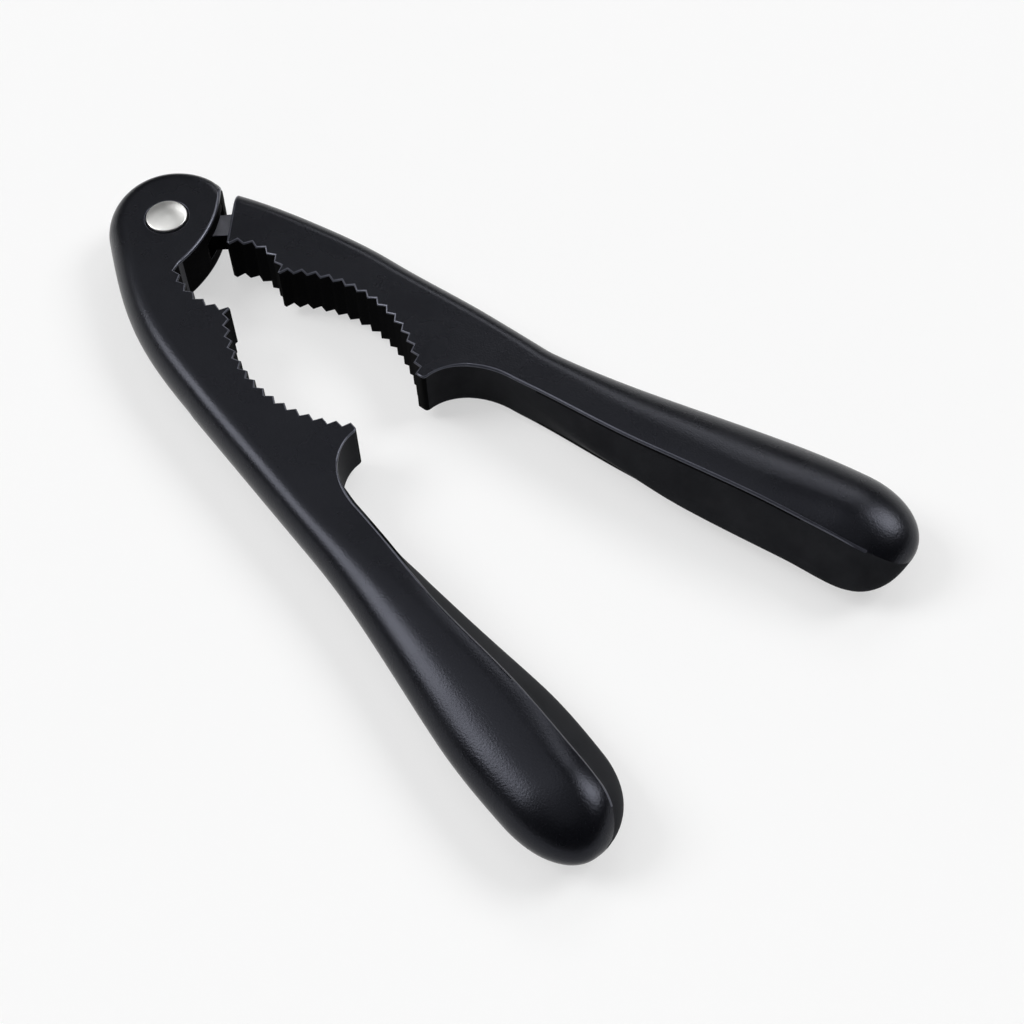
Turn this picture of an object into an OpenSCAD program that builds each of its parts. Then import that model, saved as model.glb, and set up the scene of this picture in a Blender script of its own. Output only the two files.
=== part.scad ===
// Plier nutcracker: two cast levers, toothed for hazelnuts and walnuts, joined by a two-part rivet.
// Origin on the rivet axis, at the flat face of the lower rivet head.
// +X runs along the middle between the handles and +Z along the rivet, with the domed head up.
// Each lever is drawn in its own lever frame: X along the closing line, Y towards the back of the lever.

/* [Overall] */
// Thickness of the jaws and of the head
jaw_t = 10.2; // [9:0.1:12]
// Distance from the rivet axis to the tip of the jaws
tip_x = 66.6; // [64:0.1:72]
// Distance from the rivet axis to the far end of the handles, along the closing line
lever_end = 156; // [150:0.5:170]
// Distance of the straight back of the jaws from the closing line
back_y = 20.4; // [19:0.1:23]
// Place along the lever where the straight back starts to curve towards the head
back_curve_x = 41.5; // [39:0.5:46]
// How far the rounding of the back edge reaches across the jaws
back_round = 4.5; // [3.5:0.1:5.5]

/* [Pose] */
// Angle of the tongue lever's closing line to the middle between the handles
tongue_angle = 4; // [3:0.1:6]
// Angle of the fork lever's closing line to the middle between the handles
fork_angle = 10; // [8:0.1:12]
// How far the levers close from this pose
close_travel = 13.5; // [8:0.1:13.5]
// How far the levers open from this pose
open_travel = 12; // [6:0.5:12]

/* [Handles] */
// Place of the neck, where the finger notch runs out into the handle
neck_x = 80; // [78:0.5:84]
// Distance from the closing line to the inner edge of the neck
neck_inner_y = 10.1; // [9:0.1:11]
// How far the inner side of the neck swells out past its upper edge
neck_bulge = 0.9; // [0.4:0.1:1.4]
// Distance before the neck at which the lever starts to grow thicker
swell_lead = 8; // [5:0.5:10]
// Distance before the widest place at which the handle has its full thickness
swell_tail = 14; // [8:1:20]
// Length over which the inner side of the handle gets its full bulge
bulge_run = 20; // [12:1:30]
// Length over which the rounding of the back grows to half the width of the handle
round_run = 30; // [20:1:40]
// Place where the handle is widest
bulb_x = 142; // [136:1:145]
// Half of the greatest width of the handle
bulb_w = 10.7; // [9:0.1:12]
// Half of the greatest thickness of the handle
bulb_h = 7; // [6:0.1:8]
// Distance from the middle of the handle to its upper inner edge, at the widest place
bulb_edge = 6.4; // [5:0.1:7.5]
// How much higher the upper inner edge lies there than at the neck
edge_rise = 0.3; // [0:0.05:0.8]
// Angle of the tongue lever's handle to its closing line
tongue_splay = 6.9; // [4:0.1:9]
// Angle of the fork lever's handle to its closing line
fork_splay = -0.4; // [-2:0.1:4]

/* [Jaws] */
// Place of the cusp between the small jaw and the large jaw
cusp_x = 27.2; // [26:0.1:29]
// Distance of the cusp from the closing line
cusp_y = 2.8; // [2:0.1:3.5]
// Length of the flat at the cusp
cusp_flat = 0.6; // [0.3:0.1:1]
// Length of the flat at the tip of the jaws
tip_flat = 2.2; // [1:0.1:3]
// Depth of the large jaw below its two ends
walnut_sag = 6.9; // [5:0.1:8]
// Depth of the small jaw below its two ends
hazelnut_sag = 2.3; // [1.5:0.1:3]
// Distance from tooth to tooth
tooth_pitch = 2.65; // [2.2:0.05:3.2]
// Depth of each tooth
tooth_depth = 1.05; // [0.6:0.05:1.3]
// Distance from the closing line to the start of the small jaw on the fork lever
fork_jaw_y = 4.7; // [4:0.1:5.5]
// Distance from the closing line to the start of the small jaw on the tongue lever
tongue_jaw_y = 2.5; // [2:0.1:3]
// Length of the plain land before the first tooth of the tongue lever
tongue_land = 0.9; // [0.3:0.1:1.5]

/* [Head] */
// Radius of the round head
head_r = 12.7; // [12:0.1:13]
// Distance of the middle of the head from the rivet axis, towards the tongue lever
head_offset = 0.9; // [0:0.1:1.2]
// Rounding of the edge of the head
head_round = 3.6; // [2:0.1:4]
// Least distance from the rivet axis to the inner face of the head
head_face = 9.2; // [8.9:0.1:10]
// Radius of the curved inner face of the head
head_face_radius = 27; // [22:0.5:35]
// Direction in which that face is nearest to the rivet axis
head_face_angle = 26; // [20:1:30]
// Distance from the rivet axis to the end face of the tongue lever
shoulder = 12.65; // [12.4:0.05:13.5]
// Direction of that end face from the rivet axis
shoulder_angle = 40; // [36:0.2:42]
// Thickness of the tongue
tongue_t = 4; // [3:0.1:5]
// Radius of the eye of the tongue
eye_r = 8; // [7:0.1:8.3]
// Width of the tongue between the eye and the end face
tongue_w = 5.5; // [4.5:0.1:6]
// Direction of the tongue from the rivet axis
tongue_dir = 45; // [42:0.5:48]
// How far the tongue runs into the lever behind the end face
tongue_root = 4; // [3:0.5:6]
// Gap between the tongue and each side of the slot
slot_gap = 0.15; // [0.1:0.01:0.3]
// Gap between the edge of the tongue and the walls of the slot
slot_edge_gap = 0.4; // [0.3:0.05:0.5]

/* [Rivet] */
// Diameter of the rivet heads
rivet_head_d = 8.1; // [7:0.1:9]
// Height of the straight rim of the domed head
rivet_rim = 0.8; // [0.5:0.05:1]
// Height of the dome above that rim
rivet_dome = 0.6; // [0.3:0.05:0.8]
// Thickness of the lower head
lower_head_t = 1.1; // [0.8:0.05:1.5]
// Height of the bevel around the lower head
lower_head_bevel = 0.4; // [0.2:0.05:0.6]
// Diameter of the sleeve that the tongue turns on
sleeve_d = 5; // [4:0.1:6]
// Diameter of the pin that is pressed into the sleeve
pin_d = 3; // [2:0.1:3.5]
// Length of the pin below the domed head
pin_len = 6; // [4:0.1:6.5]
// Gap left in the sleeve below the end of the pin
pin_end_gap = 0.5; // [0.3:0.1:1]
// Depth of the recesses that seat the rivet heads
recess = 0.5; // [0.3:0.05:0.7]
// Gap around the rivet heads in their recesses
recess_gap = 0.35; // [0.2:0.05:0.6]
// Running clearance between the eye and the sleeve, on the radius
eye_clearance = 0.05; // [0.02:0.01:0.1]
// Clearance between the fixed pieces of the rivet and their holes, on the radius
seat_clearance = 0.01; // [0.01:0.01:0.02]

/* [Hidden] */

half_t = jaw_t / 2;
// Height of the underside of the jaws, of the middle of the levers and of the top of the jaws
under_z = lower_head_t - recess;
mid_z = under_z + half_t;
top_z = under_z + jaw_t;
// Half the width of the neck, the middle of it and the distance from there to its upper inner edge
neck_w = (back_y - neck_inner_y + neck_bulge) / 2;
neck_mid_y = back_y - neck_w;
neck_edge = neck_mid_y - neck_inner_y;
// Start of the change from the flat jaws to the round handle, and the length of the finger notch
swell_x = neck_x - swell_lead;
notch_x = neck_x - tip_x;
// Stock beyond the closing line, from which the jaws are cut
jaw_stock = 2;
// Size of the far end of the handle against its widest section: it closes with a small flat
end_share = 0.06;
// Pieces of each curve of the sections and of the outlines
side_steps = 3;
top_steps = 4;
back_steps = 5;
arc_steps = 10;
// Stations along the levers
station_gap = 5;
cap_steps = 6;
// Reach of the cuts past the solid
far = 40;
over = 1;
// Roundness of the large and of the small circles
fine = 96;
small = 64;

function smooth(u) = let (v = min(1, max(0, u))) v * v * (3 - 2 * v);
function mix(a, b, u) = a + (b - a) * u;
function polar(r, a) = [r * cos(a), r * sin(a)];
// Point at the given places along and across a direction from the rivet axis
function along(a, r, across) = polar(r, a) + polar(across, a + 90);

// Middle of the round head in the lever frame
head_mid = -polar(head_offset, 90 - fork_angle);
// The back of both levers curves on the one radius that touches a circle a little smaller than the head,
// so that it runs into the edge of the head almost without a corner
head_lap = 0.1;
join_r = head_r - head_lap;
back_run = back_curve_x - head_mid.x;
back_rise = back_y - head_mid.y;
back_radius = (pow(back_run, 2) + pow(back_rise, 2) - pow(join_r, 2)) / (2 * (back_rise - join_r));
head_join_x = head_mid.x - join_r * back_run / (back_radius - join_r);

// How far the section has changed from the flat jaw to the round handle
function swell(x) = smooth((x - swell_x) / (bulb_x - swell_tail - swell_x));
function widen(x) = smooth((x - neck_x) / (bulb_x - neck_x));
// Shrinking of the sections at the round end of the handle
function end_reach(x) = max(0, x - bulb_x) / (lever_end - bulb_x);
function cap(x) = sqrt(max(pow(end_share, 2), 1 - pow(end_reach(x), 2)));
function half_w(x) = mix(neck_w, bulb_w, widen(x)) * cap(x);
function half_h(x) = mix(half_t, bulb_h, swell(x)) * cap(x);
function middle_y(x, splay) = neck_mid_y + tan(splay) * max(0, x - neck_x);
function edge_off(x) = mix(neck_edge, bulb_edge, widen(x)) * cap(x);
function edge_z(x) = min(half_h(x), (half_t + edge_rise * widen(x)) * cap(x));

// Outermost place of the back of the lever
function back_at(x, splay) =
    x < back_curve_x ? back_y - back_radius + sqrt(pow(back_radius, 2) - pow(back_curve_x - x, 2))
    : x < neck_x ? back_y
    : middle_y(x, splay) + half_w(x);
// Inner edge of the blank, before the jaws and the finger notch are cut
function inner_at(x, splay) =
    x < neck_x ? neck_inner_y - (neck_inner_y + jaw_stock) * pow(min(1, (neck_x - x) / notch_x), 2)
    : middle_y(x, splay) - edge_off(x);
// How far the inner side of the handle swells out below its edge
function bulge_at(x) = x < neck_x ? 0 : (half_w(x) - edge_off(x)) * smooth((x - neck_x) / bulge_run);
function round_at(x) = mix(back_round, half_w(x), smooth((x - swell_x) / round_run));

// Upper half of the section at x, from the inner side over the top to the back
function half_section(x, splay) =
    let (
        yi = inner_at(x, splay),
        yb = back_at(x, splay),
        r = round_at(x),
        h = half_h(x),
        e = edge_z(x),
        b = bulge_at(x),
        crown = yb - r
    )
    concat(
        [for (i = [0 : side_steps]) let (u = i / side_steps) [yi - b * (1 - u * u), e * u]],
        [for (i = [1 : top_steps]) let (u = 1 - i / top_steps) [mix(crown, yi, u), h - (h - e) * u * u]],
        [for (i = [1 : back_steps]) let (a = 90 * i / back_steps) [crown + r * sin(a), h * cos(a)]]
    );
function section(x, splay) =
    let (upper = half_section(x, splay), n = len(upper))
    concat(
        [for (p = upper) [x, p.x, mid_z + p.y]],
        [for (i = [n - 2 : -1 : 1]) [x, upper[i].x, mid_z - upper[i].y]]
    );

// The solid of a lever before its cuts, from x_start to the round end of the handle
module blank(x_start, splay) {
    runs = ceil((bulb_x - x_start) / station_gap);
    stations = concat(
        [for (i = [0 : runs]) mix(x_start, bulb_x, i / runs)],
        [for (i = [1 : cap_steps]) bulb_x + (lever_end - bulb_x) * sin(90 * i / cap_steps)]
    );
    rings = [for (x = stations) section(x, splay)];
    n = len(rings[0]);
    last = len(rings) - 1;
    points = [for (ring = rings) each ring];
    walls = [
        for (k = [0 : last - 1], i = [0 : n - 1])
            let (a = k * n + i, b = k * n + (i + 1) % n)
            each [[a, b, a + n], [b, b + n, a + n]]
    ];
    // The end faces fan out from the outermost point, which lies on none of their straight sides
    back = n / 2;
    first_cap = [for (i = [1 : n - 2]) [back, (back + i + 1) % n, (back + i) % n]];
    last_cap = [for (i = [1 : n - 2]) [back, (back + i) % n, (back + i + 1) % n] + last * n * [1, 1, 1]];
    polyhedron(points = points, faces = concat(walls, first_cap, last_cap));
}

// Points along a toothed arc from p to q that sinks by sag, with a tooth valley between each two peaks
function toothed_arc(p, q, sag) =
    let (
        d = q - p,
        chord = norm(d),
        r = (chord * chord / 4 + sag * sag) / (2 * sag),
        half = asin(chord / 2 / r),
        teeth = round(half * PI / 90 * r / tooth_pitch),
        slant = atan2(d.y, d.x),
        centre = (p + q) / 2 + polar(r - sag, slant - 90)
    )
    [
        for (i = [0 : 2 * teeth])
            let (a = slant + 90 + half - 2 * half * i / (2 * teeth))
            centre + polar(r + (i % 2 == 1 ? tooth_depth : 0), a)
    ];

// Jaw line of a lever from the first tooth of its small jaw to the run-out of the finger notch
function jaw_line(start) = concat(
    toothed_arc(start, [cusp_x, cusp_y], hazelnut_sag),
    toothed_arc([cusp_x + cusp_flat, cusp_y], [tip_x - tip_flat, 0], walnut_sag),
    [
        for (i = [0 : arc_steps])
            let (a = 90 * i / arc_steps)
            [neck_x - notch_x * cos(a), neck_inner_y * sin(a)]
    ],
    [[neck_x, -far]]
);

// Inner face of the head, an arc from its outer corner to the start of the small jaw, in the lever frame
head_face_dir = head_face_angle + fork_angle;
head_face_mid = polar(head_face - head_face_radius, -head_face_dir);
fork_jaw_x = head_face_mid.x + sqrt(pow(head_face_radius, 2) - pow(fork_jaw_y - head_face_mid.y, 2));
head_face_end = atan2(fork_jaw_y - head_face_mid.y, fork_jaw_x - head_face_mid.x);
// Angle from the nearest place of that face to its outer end, past the edge of the head
head_face_spread = 40;
head_face_start = -head_face_dir - head_face_spread;
head_face_points = [
    for (i = [0 : arc_steps])
        head_face_mid + polar(head_face_radius, mix(head_face_start, head_face_end, i / arc_steps))
];

// End face of the tongue lever, in the lever frame
shoulder_dir = shoulder_angle - tongue_angle;
shoulder_x = (shoulder - tongue_jaw_y * sin(shoulder_dir)) / cos(shoulder_dir);
shoulder_far = [(shoulder - far * sin(shoulder_dir)) / cos(shoulder_dir), far];

module through() {
    translate([0, 0, under_z - far])
        linear_extrude(jaw_t + 2 * far) children();
}

// What the mouth takes from the blank of the fork lever, from the face of the head to the neck
module fork_mouth() {
    through()
        polygon(concat(
            [[head_face_points[0].x, -far]],
            head_face_points,
            jaw_line([fork_jaw_x, fork_jaw_y])
        ));
}

// What the mouth takes from the blank of the tongue lever, with all that lies before its end face
module tongue_mouth() {
    through()
        polygon(concat(
            [[-far, -far], [-far, far], shoulder_far, [shoulder_x, tongue_jaw_y]],
            jaw_line([shoulder_x + tongue_land, tongue_jaw_y])
        ));
}

// Round head of the fork lever, with its rounded edge
module head() {
    inner_r = head_r - head_round;
    translate([head_mid.x, head_mid.y, under_z]) {
        cylinder(r = inner_r, h = jaw_t, $fn = fine);
        translate([0, 0, head_round]) cylinder(r = head_r, h = jaw_t - 2 * head_round, $fn = fine);
        for (z = [head_round, jaw_t - head_round])
            translate([0, 0, z])
                rotate_extrude($fn = fine) intersection() {
                    translate([inner_r, 0]) circle(r = head_round, $fn = small);
                    translate([0, -head_round]) square([head_r, 2 * head_round]);
                }
    }
}

// Slot for the tongue, as wide as its swing
module slot() {
    t = tongue_t + 2 * slot_gap;
    edge = tongue_w / 2 + slot_edge_gap;
    closed = tongue_dir - close_travel;
    open = tongue_dir + open_travel;
    reach = 2 * head_r;
    translate([0, 0, mid_z - t / 2])
        linear_extrude(t) {
            circle(r = eye_r + slot_edge_gap, $fn = fine);
            polygon([
                along(closed, 0, -edge),
                along(closed, reach, -edge),
                along((closed + open) / 2, reach + edge, 0),
                along(open, reach, edge),
                along(open, 0, edge)
            ]);
        }
}

// Lever with the round, slotted head that holds the rivet
module fork_lever() {
    recess_r = rivet_head_d / 2 + recess_gap;
    sleeve_hole_d = sleeve_d + 2 * seat_clearance;
    color("#1d1e24")
        difference() {
            rotate(-fork_angle) mirror([0, 1, 0])
                difference() {
                    union() {
                        blank(head_join_x, fork_splay);
                        head();
                    }
                    fork_mouth();
                }
            slot();
            translate([0, 0, under_z - over]) cylinder(d = sleeve_hole_d, h = jaw_t + 2 * over, $fn = small);
            translate([0, 0, top_z - recess]) cylinder(r = recess_r, h = recess + over, $fn = small);
            translate([0, 0, under_z - over]) cylinder(r = recess_r, h = recess + over, $fn = small);
        }
}

// Lever with the tongue and eye that turn in the slot
module tongue_lever() {
    root = shoulder + tongue_root;
    color("#1d1e24")
        difference() {
            union() {
                rotate(tongue_angle)
                    difference() {
                        blank(0, tongue_splay);
                        tongue_mouth();
                    }
                translate([0, 0, mid_z - tongue_t / 2])
                    linear_extrude(tongue_t) {
                        circle(r = eye_r, $fn = fine);
                        polygon([
                            along(tongue_dir, 0, -tongue_w / 2),
                            along(tongue_dir, root, -tongue_w / 2),
                            along(tongue_dir, root, tongue_w / 2),
                            along(tongue_dir, 0, tongue_w / 2)
                        ]);
                    }
            }
            translate([0, 0, mid_z - tongue_t])
                cylinder(d = sleeve_d + 2 * eye_clearance, h = 2 * tongue_t, $fn = small);
        }
}

// Upper half of the rivet: domed head and pin
module rivet_pin() {
    seat_z = top_z - recess;
    head_rad = rivet_head_d / 2;
    ball_r = (head_rad * head_rad + rivet_dome * rivet_dome) / (2 * rivet_dome);
    color("#c9cacb") {
        intersection() {
            translate([0, 0, seat_z]) cylinder(r = head_rad, h = rivet_rim + rivet_dome, $fn = small);
            translate([0, 0, seat_z + rivet_rim + rivet_dome - ball_r]) sphere(r = ball_r, $fn = fine);
        }
        translate([0, 0, seat_z - pin_len]) cylinder(d = pin_d, h = pin_len + rivet_rim / 2, $fn = small);
    }
}

// Lower half of the rivet: flat head and the sleeve that the tongue turns on
module rivet_sleeve() {
    head_rad = rivet_head_d / 2;
    sleeve_top = top_z - recess - seat_clearance;
    hole_depth = pin_len + pin_end_gap;
    color("#c9cacb")
        difference() {
            union() {
                translate([0, 0, lower_head_bevel])
                    cylinder(r = head_rad, h = lower_head_t - lower_head_bevel, $fn = small);
                cylinder(r1 = head_rad - lower_head_bevel, r2 = head_rad, h = lower_head_bevel, $fn = small);
                cylinder(d = sleeve_d, h = sleeve_top, $fn = small);
            }
            translate([0, 0, sleeve_top - hole_depth])
                cylinder(d = pin_d + 2 * seat_clearance, h = hole_depth + over, $fn = small);
        }
}

fork_lever();
tongue_lever();
rivet_pin();
rivet_sleeve();
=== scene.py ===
# %% [markdown]
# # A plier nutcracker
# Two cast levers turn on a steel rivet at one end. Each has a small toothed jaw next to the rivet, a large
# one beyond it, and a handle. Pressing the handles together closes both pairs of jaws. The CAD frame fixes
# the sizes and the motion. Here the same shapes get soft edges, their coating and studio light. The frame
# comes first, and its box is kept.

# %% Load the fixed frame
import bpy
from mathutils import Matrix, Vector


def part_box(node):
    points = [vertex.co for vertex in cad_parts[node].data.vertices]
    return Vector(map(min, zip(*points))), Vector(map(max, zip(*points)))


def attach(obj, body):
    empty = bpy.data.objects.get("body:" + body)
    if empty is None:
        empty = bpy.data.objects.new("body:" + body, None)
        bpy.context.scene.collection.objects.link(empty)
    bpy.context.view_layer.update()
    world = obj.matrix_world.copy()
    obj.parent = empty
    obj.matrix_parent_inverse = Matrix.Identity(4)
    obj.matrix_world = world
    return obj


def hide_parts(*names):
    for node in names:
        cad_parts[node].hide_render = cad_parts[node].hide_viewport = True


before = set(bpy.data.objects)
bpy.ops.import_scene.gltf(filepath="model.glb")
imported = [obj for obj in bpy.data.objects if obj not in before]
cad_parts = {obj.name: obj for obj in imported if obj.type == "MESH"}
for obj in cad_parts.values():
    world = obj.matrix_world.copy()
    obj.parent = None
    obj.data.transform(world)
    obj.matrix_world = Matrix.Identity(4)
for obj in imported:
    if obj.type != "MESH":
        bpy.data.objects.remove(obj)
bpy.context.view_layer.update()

# %% Blender's tools and the unit
import math

import bmesh
import bpy
from mathutils import Matrix, Vector

MM = 0.001
scene = bpy.context.scene

# %% [markdown]
# ## The camera
# The tool was photographed from above the handles, with the rivet nearest to the left edge of the picture.
# A camera can be aimed with a constraint or turned by hand. Here its place and its three angles were
# measured from the known shapes of the tool, so they are turned into one matrix: the picture's right, up
# and backward directions.

# %% Camera
CAMERA_PLACE = Vector((0.22366, -0.12992, 0.269))
CAMERA_TILT = math.radians(55.738)
CAMERA_HEADING = math.radians(135.342)
CAMERA_ROLL = math.radians(3.035)
SENSOR_WIDTH = 36.0
PICTURE_SIDE = 1024
FOCAL_PIXELS = 1800
CAMERA_NEAR = 0.01


def make_camera():
    ahead = Vector((
        math.cos(CAMERA_TILT) * math.cos(CAMERA_HEADING),
        math.cos(CAMERA_TILT) * math.sin(CAMERA_HEADING),
        -math.sin(CAMERA_TILT),
    ))
    level_right = Vector((math.sin(CAMERA_HEADING), -math.cos(CAMERA_HEADING), 0))
    level_down = ahead.cross(level_right)
    right = math.cos(CAMERA_ROLL) * level_right + math.sin(CAMERA_ROLL) * level_down
    up = math.sin(CAMERA_ROLL) * level_right - math.cos(CAMERA_ROLL) * level_down
    lens = bpy.data.cameras.new("photo_camera")
    lens.sensor_width = SENSOR_WIDTH
    lens.lens = SENSOR_WIDTH * FOCAL_PIXELS / PICTURE_SIDE
    lens.clip_start = CAMERA_NEAR
    camera = bpy.data.objects.new("photo_camera", lens)
    turn = Matrix((right, up, -ahead)).transposed().to_4x4()
    camera.matrix_world = Matrix.Translation(CAMERA_PLACE) @ turn
    scene.collection.objects.link(camera)
    return camera


scene.camera = make_camera()
print("camera lens:", round(scene.camera.data.lens, 2), "mm")

# %% [markdown]
# ## The plan of a lever
# Both levers are drawn in a frame of their own: x runs from the rivet along the line where the jaws meet,
# and y runs to the back of the lever. The sizes follow the CAD model, in millimetres. Heights are counted
# from the middle of the casting, because its lower half mirrors the upper one almost everywhere.

# %% Sizes shared by both levers
fork_low, fork_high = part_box("fork_lever")
MID_Z = (fork_low.z + fork_high.z) / 2 / MM
# Half heights: of the bulb of a handle, and of the flat part with the jaws.
BULB_H = (fork_high.z - fork_low.z) / 2 / MM
HALF_T = 5.1
BACK_Y = 20.4
BACK_ROUND = 4.5
TIP_X = 66.6
SWELL_X = 72.0
NECK_X = 80.0
NECK_INNER_Y = {"fork": 9.9, "tongue": 10.0}
NOTCH_LENGTH = NECK_X - TIP_X
print("middle of the castings at", round(MID_Z, 2), "mm, handles", round(2 * BULB_H, 1), "mm thick")


# %% Small helpers for curves
def smooth(share):
    held = min(1.0, max(0.0, share))
    return held * held * (3 - 2 * held)


def mix(start, end, share):
    return start + (end - start) * share


def polar(radius, angle):
    return Vector((radius * math.cos(angle), radius * math.sin(angle)))


# Each stop is a place along the lever and a value. The result glides from stop to stop and then stays.
def along(x, stops):
    for (first, low), (last, high) in zip(stops, stops[1:]):
        if x < last:
            return mix(low, high, smooth((x - first) / (last - first)))
    return stops[-1][1]


def notch_y(x, lever):
    run = (NECK_X - x) / NOTCH_LENGTH
    return NECK_INNER_Y[lever] * math.sqrt(max(0.0, 1 - run * run))


print("inner edge where the fork handle starts to swell:", round(notch_y(SWELL_X, "fork"), 2), "mm")

# %% [markdown]
# ## A handle from above
# Seen from above, a handle has three lines: the lip along its inner edge, the nose that bulges out below
# the lip, and the back. They run side by side from the neck to the bulb and meet in a round cap, whose tip
# lies a little towards the back on the fork lever. Curve objects could carry these lines, but short lists
# of stops are easier to tune. The two castings differ slightly, so most lists have an entry for each lever.

# %% Lip, nose and back of a handle
NECK_W = 5.6
NECK_MID_Y = BACK_Y - NECK_W
BULB_X = 142.0
BULB_W = 10.7
LEVER_END = {"fork": 155.4, "tongue": 156.4}
SPLAY = {"fork": math.radians(-0.4), "tongue": math.radians(6.9)}
LIP_OFF = {
    "fork": ((NECK_X, NECK_MID_Y - NECK_INNER_Y["fork"]), (104.0, 4.4), (128.0, 5.4)),
    "tongue": ((NECK_X, NECK_MID_Y - NECK_INNER_Y["tongue"]), (108.0, 6.1)),
}
NOSE_OUT = {
    "fork": ((126.0, 0.9), (148.0, -0.1)),
    "tongue": ((110.0, 0.8), (138.0, -0.5), (154.0, 0.7)),
}
BACK_OUT = {
    "fork": ((124.0, 0.1), (146.0, -0.6)),
    "tongue": ((42.0, 0.0), (66.0, 0.8), (128.0, 0.6), (150.0, 0.2)),
}
BULGE_RUN = {"fork": 16.0, "tongue": 20.0}
LEDGE = {"fork": 0.65, "tongue": 0.0}
LEDGE_START = 6.0
LEDGE_STOPS = ((90.0, 1.0), (106.0, 0.0))
END_SHIFT = {"fork": 2.0, "tongue": 0.0}
LIP_FULLNESS = 3.0
NOSE_FULLNESS = {"fork": 2.0, "tongue": 3.0}
BACK_FULLNESS = 2.0


def cap(x, lever, fullness):
    run = max(0.0, x - BULB_X) / (LEVER_END[lever] - BULB_X)
    return max(0.0, 1 - run ** fullness) ** (1 / fullness)


def bulge(x, lever):
    return smooth((x - NECK_X) / BULGE_RUN[lever])


def half_width(x):
    return mix(NECK_W, BULB_W, smooth((x - NECK_X) / (BULB_X - NECK_X)))


def ledge_width(x, lever):
    return LEDGE[lever] * smooth((x - SWELL_X) / LEDGE_START) * along(x, LEDGE_STOPS)


def handle_lines(x, lever):
    back_out = along(x, BACK_OUT[lever])
    if x < NECK_X:
        lip = notch_y(x, lever)
        return lip, lip - ledge_width(x, lever), BACK_Y + back_out
    shift = END_SHIFT[lever]
    end = NECK_MID_Y + math.tan(SPLAY[lever]) * (x - NECK_X) + shift
    lip_off = along(x, LIP_OFF[lever])
    nose_off = mix(lip_off, half_width(x) + along(x, NOSE_OUT[lever]), bulge(x, lever))
    lip = end - (lip_off + shift) * cap(x, lever, LIP_FULLNESS)
    nose = end - (nose_off + shift) * cap(x, lever, NOSE_FULLNESS[lever])
    back = end + (half_width(x) + back_out - shift) * cap(x, lever, BACK_FULLNESS)
    return lip, min(nose, lip - ledge_width(x, lever)), back


print("lip, nose and back at the fork's bulb:", [round(y, 1) for y in handle_lines(BULB_X, "fork")])

# %% [markdown]
# ## The section of a handle
# A handle starts as the flat bar of the jaws and swells into a bulb with a fully rounded back. Along its
# inner side runs a crisp lip. The wall below it starts a little lower, which leaves a line of shadow, and
# along the neck of the fork lever it stands out as a narrow ledge. From there the side slopes out to a
# blunt nose that sits below the middle. A subdivision surface would blur the lip, so each section is worked
# out point by point, and towards the end of the handle it changes into an even round.

# %% Heights of a handle
SWELL_END = 128.0
LIP_RISE = ((128.0, 1.45), (148.0, 0.4))
LIP_DROP = {"fork": ((88.0, 0.4), (108.0, 1.0)), "tongue": ((NECK_X, 1.0),)}
LIP_STOPS = ((145.0, 1.0), (154.0, 0.0))
NOSE_DROP = ((96.0, 0.8), (118.0, 1.9))


def handle_heights(x, lever, side):
    shrink = cap(x, lever, BACK_FULLNESS)
    thicken = smooth((x - SWELL_X) / (SWELL_END - SWELL_X))
    crown_z = mix(HALF_T, BULB_H, thicken) * shrink
    lip_z = (HALF_T + along(x, LIP_RISE) * thicken) * shrink
    wall_z = lip_z - along(x, LIP_DROP[lever]) * along(x, LIP_STOPS) * shrink
    nose_z = -side * along(x, NOSE_DROP) * bulge(x, lever) * shrink
    return crown_z, lip_z, wall_z, nose_z


bulb_heights = handle_heights(BULB_X, "fork", 1)
print("crown, lip, wall and nose at the fork's bulb:", [round(z, 1) for z in bulb_heights])

# %% Upper or lower half of a section, from the nose over the lip and the crown to the back
SIDE_STEPS = 7
TOP_STEPS = 9
BACK_STEPS = 12
LIP_POINT = SIDE_STEPS + 1
CROWN_POINT = LIP_POINT + TOP_STEPS
CROWN_REACH = ((122.0, 1.2), (144.0, 1.0))
ROUND_RUN = 30.0
NOSE_BLUNT = 0.35
TOP_FALL = 2
LIP_LOWEST = math.radians(14)
# Keeps a division away from zero at the very end of a handle.
FINE = 0.001


def blunt(share):
    return (math.hypot(share, NOSE_BLUNT) - NOSE_BLUNT) / (math.hypot(1, NOSE_BLUNT) - NOSE_BLUNT)


def half_section(x, lever, side=1):
    lip, nose, back = handle_lines(x, lever)
    crown_z, lip_z, wall_z, nose_z = handle_heights(x, lever, side)
    full_round = along(x, CROWN_REACH) * half_width(x) * cap(x, lever, BACK_FULLNESS)
    rounding = mix(BACK_ROUND, full_round, smooth((x - SWELL_X) / ROUND_RUN))
    crown = back - rounding
    wall = lip - ledge_width(x, lever)
    crisp = along(x, LIP_STOPS)
    lip_share = (crown - lip) / max(crown - nose, FINE)
    lip_angle = max(LIP_LOWEST, math.acos(min(1.0, lip_share)))
    points = []
    for step in range(CROWN_POINT + 1):
        if step < LIP_POINT:
            share = step / SIDE_STEPS
            sharp = Vector((mix(nose, wall, blunt(share)), mix(nose_z, wall_z, share)))
            angle = lip_angle * step / LIP_POINT
        else:
            share = 1 - (step - LIP_POINT) / TOP_STEPS
            sharp = Vector((mix(crown, lip, share), crown_z - (crown_z - lip_z) * share ** TOP_FALL))
            angle = mix(math.pi / 2, lip_angle, share)
        even = Vector((mix(crown, nose, math.cos(angle)), mix(nose_z, crown_z, math.sin(angle))))
        points.append(tuple(even.lerp(sharp, crisp)))
    for step in range(1, BACK_STEPS + 1):
        angle = math.pi / 2 * step / BACK_STEPS
        points.append((crown + rounding * math.sin(angle), crown_z * math.cos(angle)))
    return points


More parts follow.
